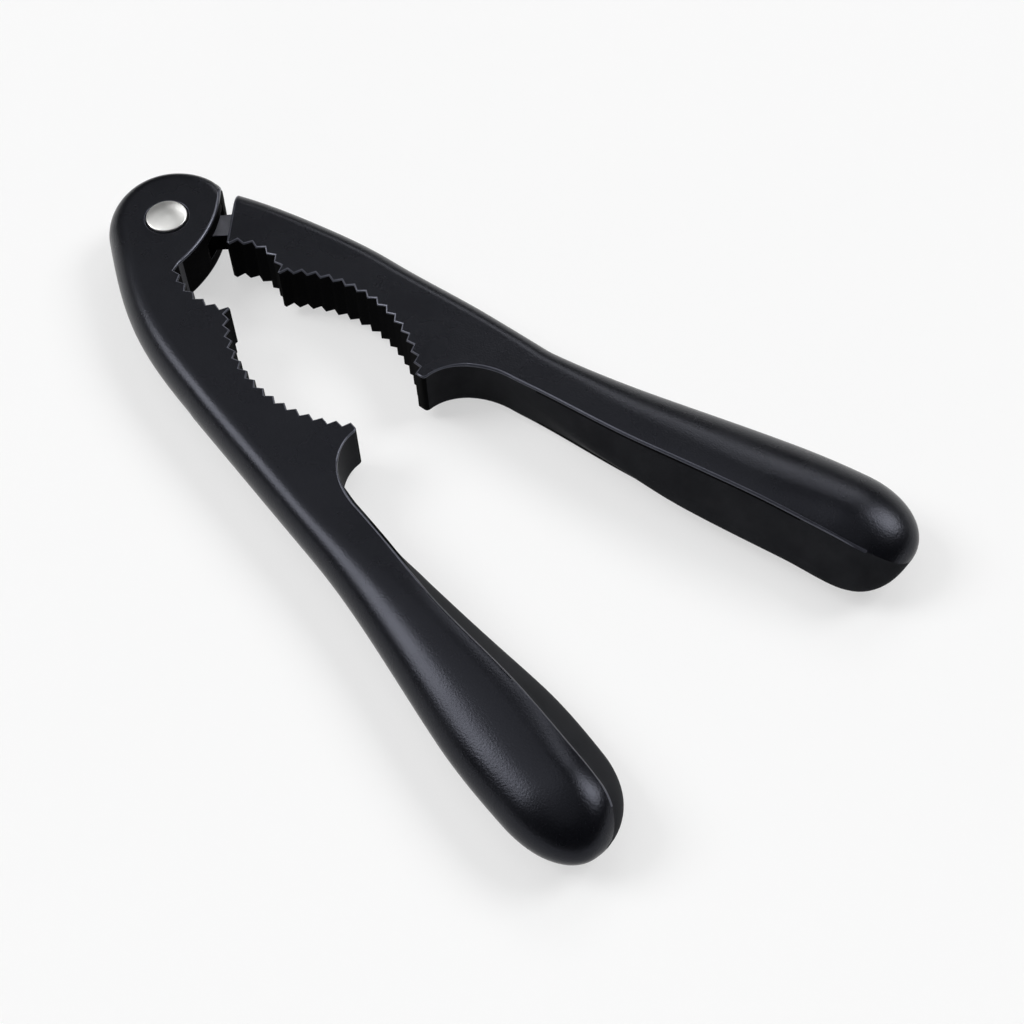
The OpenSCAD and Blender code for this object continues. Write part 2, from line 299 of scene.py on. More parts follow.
def ring(x, lever):
    upper = [(x, y, z) for y, z in half_section(x, lever)]
    lower = [(x, y, -z) for y, z in half_section(x, lever, -1)]
    return upper + lower[-2:0:-1]


print("points around a handle:", len(ring(NECK_X, "fork")))

# %% [markdown]
# ## The toothed jaws
# Each jaw is an arc with teeth across it that give it a firm hold. Teeth could be cut with many small
# wedges, but a zigzag drawn once along the arc gives the same walls with far fewer steps. The tip ends in a
# short flat, and the finger notch behind it follows a quarter of an ellipse.

# %% Jaw line of one lever
CUSP = Vector((27.2, 2.8))
CUSP_FLAT = Vector((0.6, 0.0))
TIP_FLAT = 2.2
TIP_CORNER = 0.8
SMALL_JAW_SAG = 2.3
LARGE_JAW_SAG = 6.9
TOOTH_PITCH = 2.65
TOOTH_DEPTH = 1.05
CORNER_STEPS = 5
NOTCH_STEPS = 22
# One longer stretch takes the place of the last steps, up to the first section of the handle.
NOTCH_GAP = 2


def toothed_arc(start, end, sag):
    chord = end - start
    radius = (chord.length_squared / 4 + sag * sag) / (2 * sag)
    half = math.asin(chord.length / 2 / radius)
    slant = math.atan2(chord.y, chord.x)
    centre = (start + end) / 2 + polar(radius - sag, slant - math.pi / 2)
    teeth = round(2 * half * radius / TOOTH_PITCH)
    line = []
    for step in range(2 * teeth + 1):
        angle = slant + math.pi / 2 + half - half * step / teeth
        line.append(centre + polar(radius + TOOTH_DEPTH * (step % 2), angle))
    return line


def large_jaw():
    return toothed_arc(CUSP + CUSP_FLAT, Vector((TIP_X - TIP_FLAT, 0)), LARGE_JAW_SAG)


def jaw_line(start, lever):
    line = toothed_arc(start, CUSP, SMALL_JAW_SAG) + large_jaw()
    for step in range(CORNER_STEPS):
        angle = -math.pi / 2 * (1 - step / CORNER_STEPS)
        line.append(Vector((TIP_X - TIP_CORNER, TIP_CORNER)) + polar(TIP_CORNER, angle))
    depth = NECK_INNER_Y[lever]
    first = math.asin(TIP_CORNER / depth)
    last = math.acos((NECK_X - SWELL_X) / NOTCH_LENGTH)
    for step in range(NOTCH_STEPS - NOTCH_GAP):
        angle = mix(first, last, step / NOTCH_STEPS)
        line.append(Vector((NECK_X - NOTCH_LENGTH * math.cos(angle), depth * math.sin(angle))))
    line.append(Vector((SWELL_X, notch_y(SWELL_X, lever))))
    return line


print("teeth in the large jaw:", len(large_jaw()) // 2)

# %% [markdown]
# ## The backs and the end faces
# The back of each lever runs straight, then curves in to the round head. On the fork lever it goes on
# around that head as far as the hollow face that looks at the other lever. On the tongue lever it stops at
# a flat end face. The rounded edge is a stack of lines, each the same back drawn a little further in, so it
# stays even all the way round.

# %% Lines along the back of each lever
FORK_ANGLE = math.radians(10)
TONGUE_ANGLE = math.radians(4)
HEAD_OFFSET = 0.9
HEAD_MID = -polar(HEAD_OFFSET, math.pi / 2 - FORK_ANGLE)
HEAD_R = 12.95
HEAD_ROUND = 3.0
# An edge of fullness 2 is a quarter circle, and a fuller one is squarer.
HEAD_FULLNESS = 2.7
QUARTER_CIRCLE = 2.0
FACE_RADIUS = 27.0
FACE_REACH = 9.2
FACE_TILT = math.radians(26)
FACE_MID = polar(FACE_REACH - FACE_RADIUS, -FACE_TILT - FORK_ANGLE)
SHOULDER = 12.65
SHOULDER_TILT = math.radians(40)
SHOULDER_DIR = SHOULDER_TILT - TONGUE_ANGLE
BACK_CURVE_X = 41.5
BACK_RUN = BACK_CURVE_X - HEAD_MID.x
BACK_RISE = BACK_Y - HEAD_MID.y
BACK_RADIUS = (BACK_RUN ** 2 + BACK_RISE ** 2 - HEAD_R ** 2) / (2 * (BACK_RISE - HEAD_R))
BACK_MID = Vector((BACK_CURVE_X, BACK_Y - BACK_RADIUS))
CURVE_OUT = {"fork": 0.7, "tongue": -0.3}
STRAIGHT_STEPS = 10
CURVE_STEPS = 22
HEAD_STEPS = 56
HEAD_BLEND = 1.6
CORNER_GAP = 4


def arc(centre, radius, first, last, steps):
    return [centre + polar(radius, mix(first, last, step / steps)) for step in range(1, steps + 1)]


def rounded(turn, reach, fullness):
    power = 2 / fullness
    return reach * (1 - math.sin(turn) ** power), HALF_T * max(0.0, math.cos(turn)) ** power


def curved_back(turn, last, lever):
    inset, height = rounded(turn, BACK_ROUND, QUARTER_CIRCLE)
    line = []
    for step in range(STRAIGHT_STEPS + 1):
        x = mix(SWELL_X, BACK_CURVE_X, step / STRAIGHT_STEPS)
        line.append(Vector((x, BACK_Y + along(x, BACK_OUT[lever]) - inset)))
    for step in range(1, CURVE_STEPS + 1):
        share = step / CURVE_STEPS
        reach = BACK_RADIUS + CURVE_OUT[lever] * math.sin(math.pi * share) ** 2 - inset
        line.append(BACK_MID + polar(reach, mix(math.pi / 2, last, share)))
    return [(point.x, point.y, height) for point in line]


def fork_back(turn):
    to_head = HEAD_MID - BACK_MID
    join = math.atan2(to_head.y, to_head.x)
    corner_r = HEAD_R - rounded(turn, HEAD_ROUND, HEAD_FULLNESS)[0]
    to_face = FACE_MID - HEAD_MID
    gap = to_face.length
    spread = math.acos((gap ** 2 + corner_r ** 2 - FACE_RADIUS ** 2) / (2 * gap * corner_r))
    corner = math.atan2(to_face.y, to_face.x) + spread
    line = curved_back(turn, join, "fork")
    for step in list(range(1, HEAD_STEPS - CORNER_GAP)) + [HEAD_STEPS]:
        share = smooth(step / HEAD_STEPS * HEAD_BLEND)
        reach = mix(BACK_ROUND, HEAD_ROUND, share)
        inset, height = rounded(turn, reach, mix(QUARTER_CIRCLE, HEAD_FULLNESS, share))
        point = HEAD_MID + polar(HEAD_R - inset, mix(join, corner, step / HEAD_STEPS))
        line.append((point.x, point.y, height))
    return line


def tongue_back(turn):
    inset = rounded(turn, BACK_ROUND, QUARTER_CIRCLE)[0]
    reach = SHOULDER - BACK_MID.dot(polar(1, SHOULDER_DIR))
    return curved_back(turn, SHOULDER_DIR + math.acos(reach / (BACK_RADIUS - inset)), "tongue")


print("outer corner of the head:", [round(value, 2) for value in fork_back(math.pi / 2)[-1]])
print("outer corner of the end face:", [round(value, 2) for value in tongue_back(math.pi / 2)[-1]])

# %% Lines along the end faces and into the jaws
FORK_JAW_Y = 4.7
TONGUE_JAW_Y = 2.5
TONGUE_LAND = Vector((0.9, 0.0))
FACE_STEPS = 16


def fork_inner():
    corner = Vector(fork_back(0)[-1][:2]) - FACE_MID
    first = math.atan2(corner.y, corner.x)
    last = math.asin((FORK_JAW_Y - FACE_MID.y) / FACE_RADIUS)
    face = arc(FACE_MID, FACE_RADIUS, first, last, FACE_STEPS)
    return face + jaw_line(face[-1], "fork")[1:]


def tongue_inner():
    x = (SHOULDER - TONGUE_JAW_Y * math.sin(SHOULDER_DIR)) / math.cos(SHOULDER_DIR)
    corner = Vector((x, TONGUE_JAW_Y))
    return [corner] + jaw_line(corner + TONGUE_LAND, "tongue")


print("inner line of the fork lever:", len(fork_inner()), "points, of the tongue lever:", len(tongue_inner()))

# %% [markdown]
# ## The skin of a casting
# The flat part of a lever is one top face, one bottom face, upright walls along the jaws and the rounded
# back. The handle is a row of sections. A remeshed blob would be quicker, but it would melt the teeth.
# Points that lie in the same place are shared, so that the skin comes out closed. The head is split across
# the rivet and the end face along its middle: a cut that crosses an edge leaves clean faces, while one
# inside a face needs long thin bridges.

# %% Faces of a casting, in the lever's own frame
HANDLE_STEPS = 56
CAP_STEPS = 20
LINES = {"fork": (fork_back, fork_inner), "tongue": (tongue_back, tongue_inner)}


def back_faces(rows):
    faces = []
    for upper, lower in zip(rows, rows[1:]):
        for column in range(len(upper) - 1):
            faces.append([upper[column], upper[column + 1], lower[column + 1], lower[column]])
    return faces


def flip(points):
    return [(x, y, -z) for x, y, z in points]


def flat_faces(back_line, inner_line, lever):
    rows = [back_line(math.pi / 2 * step / BACK_STEPS) for step in range(BACK_STEPS + 1)]
    joint = ring(SWELL_X, lever)
    crown = rows[0]
    inner = [(point.x, point.y, HALF_T) for point in inner_line()[:-1]] + [joint[LIP_POINT]]
    top = crown + inner + joint[LIP_POINT + 1:CROWN_POINT]
    end_face = [row[-1] for row in rows]
    faces = back_faces(rows) + back_faces([flip(row) for row in rows])
    faces += [top, flip(top), end_face + flip(end_face[-2::-1])]
    wall = [crown[-1]] + inner
    for here, there in zip(wall, wall[1:-1]):
        faces.append([here, there] + flip([there, here]))
    side = joint[:LIP_POINT + 1]
    faces.append([wall[-2]] + side[::-1] + flip(side[1:]) + flip([wall[-2]]))
    return faces


def handle_faces(lever):
    places = [mix(SWELL_X, BULB_X, step / HANDLE_STEPS) for step in range(HANDLE_STEPS + 1)]
    for step in range(1, CAP_STEPS + 1):
        places.append(mix(BULB_X, LEVER_END[lever], math.sin(math.pi / 2 * step / CAP_STEPS)))
    rings = [ring(x, lever) for x in places]
    faces = []
    for here, there in zip(rings, rings[1:]):
        for point in range(len(here)):
            after = (point + 1) % len(here)
            faces.append([here[point], here[after], there[after], there[point]])
    return faces


print("faces of the fork's handle:", len(handle_faces("fork")))

# %% From the lever's frame to the part's frame and back
LEVER_TURN = {"fork": -FORK_ANGLE, "tongue": TONGUE_ANGLE}
LEVER_SIDE = {"fork": -1, "tongue": 1}


def to_part(point, lever):
    x, y, z = point
    flat = Matrix.Rotation(LEVER_TURN[lever], 2) @ Vector((x, LEVER_SIDE[lever] * y))
    return Vector((flat.x, flat.y, z + MID_Z)) * MM


def to_lever(place, lever):
    flat = Matrix.Rotation(-LEVER_TURN[lever], 2) @ Vector((place.x, place.y)) / MM
    return flat.x, LEVER_SIDE[lever] * flat.y, place.z / MM - MID_Z


fork_tip = to_part((TIP_X, 0, 0), "fork")
print("jaw tip of the fork lever:", [round(value / MM, 1) for value in fork_tip])

# %% From faces to a closed skin
# Corners that agree to this many decimals of a millimetre are shared.
SAME_PLACE = 4


def skin(name, faces, place):
    numbers = {}
    corners = []
    loops = []
    for face in faces:
        loop = []
        for point in face:
            key = tuple(round(value, SAME_PLACE) + 0.0 for value in point)
            if key not in numbers:
                numbers[key] = len(corners)
                corners.append(place(point))
            if numbers[key] not in loop:
                loop.append(numbers[key])
        if len(loop) > 2:
            loops.append(loop)
    mesh = bpy.data.meshes.new(name)
    mesh.from_pydata(corners, [], loops)
    work = bmesh.new()
    work.from_mesh(mesh)
    bmesh.ops.recalc_face_normals(work, faces=work.faces)
    open_edges = sum(1 for edge in work.edges if len(edge.link_faces) != 2)
    work.to_mesh(mesh)
    work.free()
    piece = bpy.data.objects.new(name, mesh)
    scene.collection.objects.link(piece)
    print(name, "has", len(mesh.polygons), "faces and", open_edges, "open edges")
    return piece


print("corners are shared when", SAME_PLACE, "decimals of a millimetre agree")

# %% The two castings
SPLIT_REACH = 1e-7


def cast(name, lever):
    back_line, inner_line = LINES[lever]
    faces = flat_faces(back_line, inner_line, lever) + handle_faces(lever)
    return skin(name, faces, lambda point: to_part(point, lever))


def split(piece, spot, direction):
    work = bmesh.new()
    work.from_mesh(piece.data)
    parts = work.verts[:] + work.edges[:] + work.faces[:]
    bmesh.ops.bisect_plane(work, geom=parts, dist=SPLIT_REACH, plane_co=spot, plane_no=direction)
    work.to_mesh(piece.data)
    work.free()
    print(piece.name, "has", len(piece.data.polygons), "faces after the split")


fork_casting = cast("fork_casting", "fork")
tongue_casting = cast("tongue_casting", "tongue")
split(fork_casting, Vector((0, 0, 0)), Vector((math.cos(FORK_ANGLE), -math.sin(FORK_ANGLE), 0)))
split(tongue_casting, Vector((0, 0, MID_Z * MM)), Vector((0, 0, 1)))

# %% [markdown]
# ## The hinge
# The round head is slotted like a clevis. A flat tongue with a round eye runs from the other lever into
# that slot and turns on the rivet. The slot, the seats of the rivet heads and the tongue meet the castings
# along lines that are hard to place by hand, so these few cuts are left to the Boolean modifier. Its result
# is kept as a plain mesh.

# %% Prisms, turned pieces and cuts
TURN_STEPS = 96


def prism(name, outline, low, high):
    bottom = [(x, y, low) for x, y in outline]
    top = [(x, y, high) for x, y in outline]
    faces = [bottom, top]
    for step in range(len(outline)):
        after = (step + 1) % len(outline)
        faces.append([bottom[step], bottom[after], top[after], top[step]])
    return skin(name, faces, lambda point: Vector(point) * MM)


def turned(name, profile):
    rows = []
    for radius, height in profile:
        row = []
        for step in range(TURN_STEPS):
            spot = polar(radius, 2 * math.pi * step / TURN_STEPS)
            row.append((spot.x, spot.y, height))
        rows.append(row)
    faces = []
    for lower, upper in zip(rows, rows[1:]):
        for step in range(TURN_STEPS):
            after = (step + 1) % TURN_STEPS
            faces.append([lower[step], lower[after], upper[after], upper[step]])
    return skin(name, faces, lambda point: Vector(point) * MM)


def carve(piece, tool, operation):
    change = piece.modifiers.new(tool.name, "BOOLEAN")
    change.operation = operation
    change.solver = "EXACT"
    change.object = tool
    solid = piece.evaluated_get(bpy.context.evaluated_depsgraph_get())
    plain = bpy.data.meshes.new_from_object(solid)
    piece.modifiers.clear()
    piece.data = plain
    bpy.data.objects.remove(tool)
    print(piece.name, "now has", len(plain.polygons), "faces")


print("steps around a turned piece:", TURN_STEPS)

# %% Slot and rivet seats in the fork lever
TONGUE_T = 4.0
TONGUE_W = 5.5
TONGUE_DIR = math.radians(45)
EYE_R = 8.0
SLOT_GAP = 0.15
SLOT_EDGE_GAP = 0.4
CLOSE_TRAVEL = math.radians(13.5)
OPEN_TRAVEL = math.radians(12)
SLOT_REACH = 25.4
SEAT_R = 4.4
SEAT_DEPTH = 0.5
RIVET_HOLE_R = 2.51
CUT_PAST = 1.0


def beside(direction, reach, across):
    return polar(reach, direction) + polar(across, direction + math.pi / 2)


def circle(radius):
    return [polar(radius, 2 * math.pi * step / TURN_STEPS) for step in range(TURN_STEPS)]


def cut_hinge_slot():
    half = TONGUE_T / 2 + SLOT_GAP
    edge = TONGUE_W / 2 + SLOT_EDGE_GAP
    closed = TONGUE_DIR - CLOSE_TRAVEL
    opened = TONGUE_DIR + OPEN_TRAVEL
    swing = [
        beside(closed, 0, -edge),
        beside(closed, SLOT_REACH, -edge),
        beside((closed + opened) / 2, SLOT_REACH + edge, 0),
        beside(opened, SLOT_REACH, edge),
        beside(opened, 0, edge),
    ]
    low = MID_Z - half
    high = MID_Z + half
    carve(fork_casting, prism("eye_room", circle(EYE_R + SLOT_EDGE_GAP), low, high), "DIFFERENCE")
    carve(fork_casting, prism("tongue_room", swing, low, high), "DIFFERENCE")


def cut_rivet_seats():
    low = MID_Z - HALF_T
    high = MID_Z + HALF_T
    seats = turned("rivet_room", [
        (0, low - CUT_PAST),
        (SEAT_R, low - CUT_PAST),
        (SEAT_R, low + SEAT_DEPTH),
        (RIVET_HOLE_R, low + SEAT_DEPTH),
        (RIVET_HOLE_R, high - SEAT_DEPTH),
        (SEAT_R, high - SEAT_DEPTH),
        (SEAT_R, high + CUT_PAST),
        (0, high + CUT_PAST),
    ])
    carve(fork_casting, seats, "DIFFERENCE")


cut_hinge_slot()
cut_rivet_seats()

# %% Tongue and eye on the tongue lever
TONGUE_ROOT = 16.65
EYE_HOLE_R = 2.55


def add_tongue():
    bite = math.asin(TONGUE_W / 2 / EYE_R)
    outline = [beside(TONGUE_DIR, TONGUE_ROOT, side * TONGUE_W / 2) for side in (-1, 1)]
    for step in range(TURN_STEPS + 1):
        outline.append(polar(EYE_R, TONGUE_DIR + mix(bite, 2 * math.pi - bite, step / TURN_STEPS)))
    low = MID_Z - TONGUE_T / 2
    high = MID_Z + TONGUE_T / 2
    carve(tongue_casting, prism("tongue_plate", outline, low, high), "UNION")
    hole = prism("eye_hole", circle(EYE_HOLE_R), low - CUT_PAST, high + CUT_PAST)
    carve(tongue_casting, hole, "DIFFERENCE")


add_tongue()

# %% [markdown]
# ## The rivet
# The rivet is two turned pieces pressed into each other: a domed head on a pin, and a flat head on a
# sleeve. A turned piece is a profile swept around the axis. Every rim gets a small curve in the profile,
# because a rim with no rounding catches no light.

# %% Domed head with its pin, and flat head with its sleeve
pin_low, pin_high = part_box("rivet_pin")
_, sleeve_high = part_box("rivet_sleeve")
RIVET_R = (pin_high.x - pin_low.x) / 2 / MM
DOME_TOP = pin_high.z / MM
DOME = 0.48
DOME_FULLNESS = 2.2
DOME_STEPS = 24
RIM_R = 0.22
RIM_STEPS = 5
PIN_R = 1.5
SLEEVE_R = 2.5
LOWER_HEAD_T = 1.1
FOOT_BEVEL = 0.4
BORE_GAP = 0.01
BORE_DEEPER = 0.5


def make_rivet_dome():
    inner_r = RIVET_R - RIM_R
    rim_z = DOME_TOP - DOME
    pin_z = pin_low.z / MM
    seat_z = MID_Z + HALF_T - SEAT_DEPTH
    profile = [(0, pin_z), (PIN_R, pin_z), (PIN_R, seat_z), (RIVET_R, seat_z)]
    slope = math.atan(DOME_FULLNESS * DOME / inner_r)
    turn = math.pi / 2 - slope
    for step in range(RIM_STEPS):
        spot = Vector((inner_r, rim_z)) + polar(RIM_R, turn * step / RIM_STEPS) - polar(RIM_R, turn)
        profile.append((RIVET_R + spot.x - inner_r + RIM_R * (math.cos(turn) - 1), spot.y))
    dome_r = inner_r + RIM_R * math.cos(turn)
    for step in range(DOME_STEPS + 1):
        share = 1 - step / DOME_STEPS
        profile.append((dome_r * share, DOME_TOP - DOME * share ** DOME_FULLNESS))
    return turned("rivet_dome", profile)


def make_rivet_foot():
    top = sleeve_high.z / MM
    bore_r = PIN_R + BORE_GAP
    bore_low = pin_low.z / MM - BORE_DEEPER
    return turned("rivet_foot", [
        (0, 0),
        (RIVET_R - FOOT_BEVEL - RIM_R, 0),
        (RIVET_R - FOOT_BEVEL, RIM_R / 3),
        (RIVET_R - RIM_R / 3, FOOT_BEVEL),
        (RIVET_R, FOOT_BEVEL + RIM_R),
        (RIVET_R, LOWER_HEAD_T - RIM_R / 2),
        (RIVET_R - RIM_R / 2, LOWER_HEAD_T),
        (SLEEVE_R, LOWER_HEAD_T),
        (SLEEVE_R, top),
        (bore_r, top),
        (bore_r, bore_low),
        (0, bore_low),
    ])


rivet_dome = make_rivet_dome()
rivet_foot = make_rivet_foot()

# %% [markdown]
# ## Soft edges
# A cast and coated edge is never sharp: the coating flows round it, and the thin bright line along it is
# what tells the eye that the tool is solid. Edge weights let one Bevel modifier round each kind of edge by
# its own amount: the end faces the most, the teeth less, and the seats of the rivet the least. Weighted
# normals keep the flat faces flat.

# %% Which edges are rounded, and how much
FACE_SHARE = 0.9
NOTCH_SHARE = 0.85
LIP_SHARE = 0.7
TOOTH_SHARE = 0.5
HINGE_SHARE = 0.2
UPRIGHT = 1.0
LIP_REACH = 0.03
FACE_NEAR = 0.1
TIP_EVEN = 1.0
TIP_BLEND = 4.0
HIDDEN_R = 9.0
HINGE_MARGIN = 0.02
HINGE_HEIGHT = TONGUE_T / 2 + SLOT_GAP + HINGE_MARGIN


def on_end_face(spot, lever):
    flat = Vector(spot[:2])
    if lever == "tongue":
        return abs(flat.dot(polar(1, SHOULDER_DIR)) - SHOULDER) < LIP_REACH
    return abs((flat - FACE_MID).length - FACE_RADIUS) < FACE_NEAR


def on_lip(spot, lever):
    lip = half_section(spot[0], lever, math.copysign(1, spot[2]))[LIP_POINT]
    return math.hypot(spot[1] - lip[0], abs(spot[2]) - lip[1]) < LIP_REACH


def edge_share(ends, lever):
    x = (ends[0][0] + ends[1][0]) / 2
    if x > SWELL_X:
        if not all(on_lip(end, lever) for end in ends):
            return 0.0
        share = mix(NOTCH_SHARE, LIP_SHARE, smooth((x - SWELL_X) / (NECK_X - SWELL_X)))
        return share * along(x, LIP_STOPS) * (1 - ledge_width(x, lever))
    if abs(ends[0][2] - ends[1][2]) > UPRIGHT:
        return 0.0
    if x > TIP_X:
        return mix(TOOTH_SHARE, NOTCH_SHARE, smooth((x - TIP_X - TIP_EVEN) / TIP_BLEND))
    if all(abs(end[2]) < HINGE_HEIGHT for end in ends):
        hidden = lever == "fork" and all(math.hypot(end[0], end[1]) < HIDDEN_R for end in ends)
        return 0.0 if hidden else HINGE_SHARE
    if all(math.hypot(end[0], end[1]) < SEAT_R + LIP_REACH for end in ends):
        return HINGE_SHARE
    if all(on_end_face(end, lever) for end in ends):
        return FACE_SHARE
    return TOOTH_SHARE


print("share of the widest rounding on the teeth:", TOOTH_SHARE, "and in the notch:", NOTCH_SHARE)

# %% Bevel and even shading
EDGE_WIDTH = 0.6
EDGE_SEGMENTS = 3
# The second coat of a casting is the one for its edges; its paler colour is a painted highlight.
EDGE_COAT = 1
SHARP_ANGLE = math.radians(24)
LIP_SHARP = math.radians(8)
SLIVER = 0.002


def soften(piece, lever):
    work = bmesh.new()
    work.from_mesh(piece.data)
    bmesh.ops.dissolve_degenerate(work, dist=SLIVER * MM, edges=work.edges)
    weight = work.edges.layers.float.new("bevel_weight_edge")
    soft_count = 0
    for edge in work.edges:
        ends = [to_lever(vert.co, lever) for vert in edge.verts]
        least_angle = LIP_SHARP if ends[0][0] > SWELL_X else SHARP_ANGLE
        if len(edge.link_faces) == 2 and edge.calc_face_angle(0) > least_angle:
            edge[weight] = edge_share(ends, lever)
            soft_count += edge[weight] > 0
    work.to_mesh(piece.data)
    work.free()
    bevel = piece.modifiers.new("soft_edges", "BEVEL")
    bevel.limit_method = "WEIGHT"
    bevel.width = EDGE_WIDTH * MM
    bevel.segments = EDGE_SEGMENTS
    bevel.use_clamp_overlap = False
    # The bevel's faces get the edge coat, whose paler colour is a painted highlight.
    bevel.material = EDGE_COAT
    print(piece.name, "has", soft_count, "rounded edges")


def even_shading(piece):
    piece.data.polygons.foreach_set("use_smooth", [True] * len(piece.data.polygons))
    shade = piece.modifiers.new("even_shading", "WEIGHTED_NORMAL")
    shade.mode = "FACE_AREA"
    shade.keep_sharp = False


soften(fork_casting, "fork")
soften(tongue_casting, "tongue")
for piece in (fork_casting, tongue_casting, rivet_dome, rivet_foot):
    even_shading(piece)

# %% [markdown]
# ## A grain for every finish
# The coating has a fine orange peel that breaks up its highlights, and the steel and the floor have a faint
# grain of their own. One node group gives all of them: a fine grain for the bump and a slow cloud for
# colour and gloss. The noise is read in the object's own coordinates, so it rides along when a lever moves.

# %% Node group for grain
# Each noise has a name, a usual scale and a detail.
NOISES = (("Grain", 1500.0, 3.0), ("Cloud", 60.0, 4.0))


def make_grain_group():
    group = bpy.data.node_groups.new("casting_grain", "ShaderNodeTree")
    for name, scale, _ in NOISES:
        socket = group.interface.new_socket(name + " Scale", in_out="INPUT", socket_type="NodeSocketFloat")
        socket.default_value = scale
    for name, *_ in NOISES:
        group.interface.new_socket(name, in_out="OUTPUT", socket_type="NodeSocketFloat")
    nodes = group.nodes
    links = group.links
    taken = nodes.new("NodeGroupInput")
    given = nodes.new("NodeGroupOutput")
    place = nodes.new("ShaderNodeTexCoord")
    for name, _, detail in NOISES:
        noise = nodes.new("ShaderNodeTexNoise")
        noise.inputs["Detail"].default_value = detail
        links.new(place.outputs["Object"], noise.inputs["Vector"])
        links.new(taken.outputs[name + " Scale"], noise.inputs["Scale"])
        links.new(noise.outputs["Fac"], given.inputs[name])
    return group


grain_group = make_grain_group()
print("node group:", grain_group.name, [socket.name for socket in grain_group.interface.items_tree])

# %% [markdown]
# ## The coating
# The castings carry a satin black coating with a hint of blue. A plain black would look like a hole in the
# picture, so gloss does the work: the cloud moves the roughness a little, and the grain bends the
# highlights. Along the rounded edges the coating shines more, and its paler colour there is a painted
# highlight. Where the tongue rubs in its slot it is worn to dull grey. The inner sides of the handles are
# left as they came from the mould, under a thinner, matte coat. The walls of the jaws, which no polishing
# wheel reaches, are the dullest of all, and the strip under the lip wears that dull coat as painted shade.

# %% Helpers that build a material from the grain group
NODE_COLUMN = 220
NODE_ROW = 260
# The noise seldom leaves this range.
NOISE_LOW = 0.3
NOISE_HIGH = 0.7


def place_node(nodes, kind, column, row, **settings):
    node = nodes.new(kind)
    node.location = (column * NODE_COLUMN, -row * NODE_ROW)
    for name, value in settings.items():
        setattr(node, name, value)
    return node


def between(nodes, links, factor, low, high, column, row):
    span = place_node(nodes, "ShaderNodeMapRange", column, row)
    span.inputs["From Min"].default_value = NOISE_LOW
    span.inputs["From Max"].default_value = NOISE_HIGH
    span.inputs["To Min"].default_value = low
    span.inputs["To Max"].default_value = high
    links.new(factor, span.inputs["Value"])
    return span.outputs["Result"]


def tint(nodes, links, factor, dark, light, column, row):
    shade = place_node(nodes, "ShaderNodeMix", column, row, data_type="RGBA")
    shade.inputs["A"].default_value = (*dark, 1)
    shade.inputs["B"].default_value = (*light, 1)
    links.new(factor, shade.inputs["Factor"])
    return shade.outputs["Result"]


def grained_material(name, look):
    material = bpy.data.materials.new(name)
    material.use_nodes = True
    nodes = material.node_tree.nodes
    links = material.node_tree.links
    surface = nodes["Principled BSDF"]
    grain = place_node(nodes, "ShaderNodeGroup", -5, 0, node_tree=grain_group)
    grain.inputs["Grain Scale"].default_value = look["grain"]
    grain.inputs["Cloud Scale"].default_value = look["cloud"]
    shade = between(nodes, links, grain.outputs["Cloud"], 0, 1, -4, 0)
    colour = tint(nodes, links, shade, look["dark"], look["light"], -3, 0)
    links.new(colour, surface.inputs["Base Color"])
    gloss = between(nodes, links, grain.outputs["Cloud"], *look["rough"], -3, 1)
    links.new(gloss, surface.inputs["Roughness"])
    bump = place_node(nodes, "ShaderNodeBump", -2, 2)
    bump.inputs["Strength"].default_value = look["bump"]
    bump.inputs["Distance"].default_value = look["peel"] * MM
    links.new(grain.outputs["Grain"], bump.inputs["Height"])
    links.new(bump.outputs["Normal"], surface.inputs["Normal"])
    surface.inputs["Metallic"].default_value = look["metal"]
    surface.inputs["Specular IOR Level"].default_value = look["specular"]
    surface.inputs["Specular Tint"].default_value = (*look["shine"], 1)
    return material


print("noise between", NOISE_LOW, "and", NOISE_HIGH, "is spread over each colour and gloss")

# %% The five coats of a casting
COAT_SHINE = (0.8, 0.83, 1.0)
black_coat = grained_material("black_coat", {
    "dark": (0.002, 0.0022, 0.0032), "light": (0.0034, 0.0037, 0.005), "rough": (0.25, 0.31),
    "grain": 2800, "cloud": 90, "bump": 0.6, "peel": 0.055,
    "metal": 0.0, "specular": 0.28, "shine": COAT_SHINE,
})
# Paler than the black coat: a painted highlight along the rounded edges, which also shine more.
edge_highlight_coat = grained_material("edge_highlight_coat", {
    "dark": (0.014, 0.0147, 0.02), "light": (0.022, 0.023, 0.03), "rough": (0.28, 0.34),
    "grain": 2600, "cloud": 260, "bump": 0.3, "peel": 0.03,
    "metal": 0.0, "specular": 1.0, "shine": COAT_SHINE,
})
rubbed_coat = grained_material("rubbed_coat", {
    "dark": (0.13, 0.132, 0.15), "light": (0.2, 0.203, 0.228), "rough": (0.32, 0.42),
    "grain": 2600, "cloud": 300, "bump": 0.4, "peel": 0.03,
    "metal": 0.3, "specular": 0.4, "shine": COAT_SHINE,
})
matte_coat = grained_material("matte_coat", {
    "dark": (0.0135, 0.014, 0.0158), "light": (0.021, 0.0216, 0.0242), "rough": (0.5, 0.6),
    "grain": 2600, "cloud": 160, "bump": 0.5, "peel": 0.05,
    "metal": 0.0, "specular": 0.02, "shine": COAT_SHINE,
})
# Dull near-black coat of the jaw walls and the hinge; on the strip under the lip it is a painted shade.
dull_coat_and_painted_shade = grained_material("dull_coat_and_painted_shade", {
    "dark": (0.0018, 0.0018, 0.002), "light": (0.0036, 0.0036, 0.0039), "rough": (0.55, 0.65),
    "grain": 2600, "cloud": 260, "bump": 0.5, "peel": 0.05,
    "metal": 0.0, "specular": 0.01, "shine": COAT_SHINE,
})
COATS = (black_coat, edge_highlight_coat, rubbed_coat, matte_coat, dull_coat_and_painted_shade)
print("coats:", [material.name for material in COATS])

# %% Which face wears which coat
FLAT_NORMAL = 0.9
WALL_NORMAL = 0.1
BACK_NEAR = 1.0
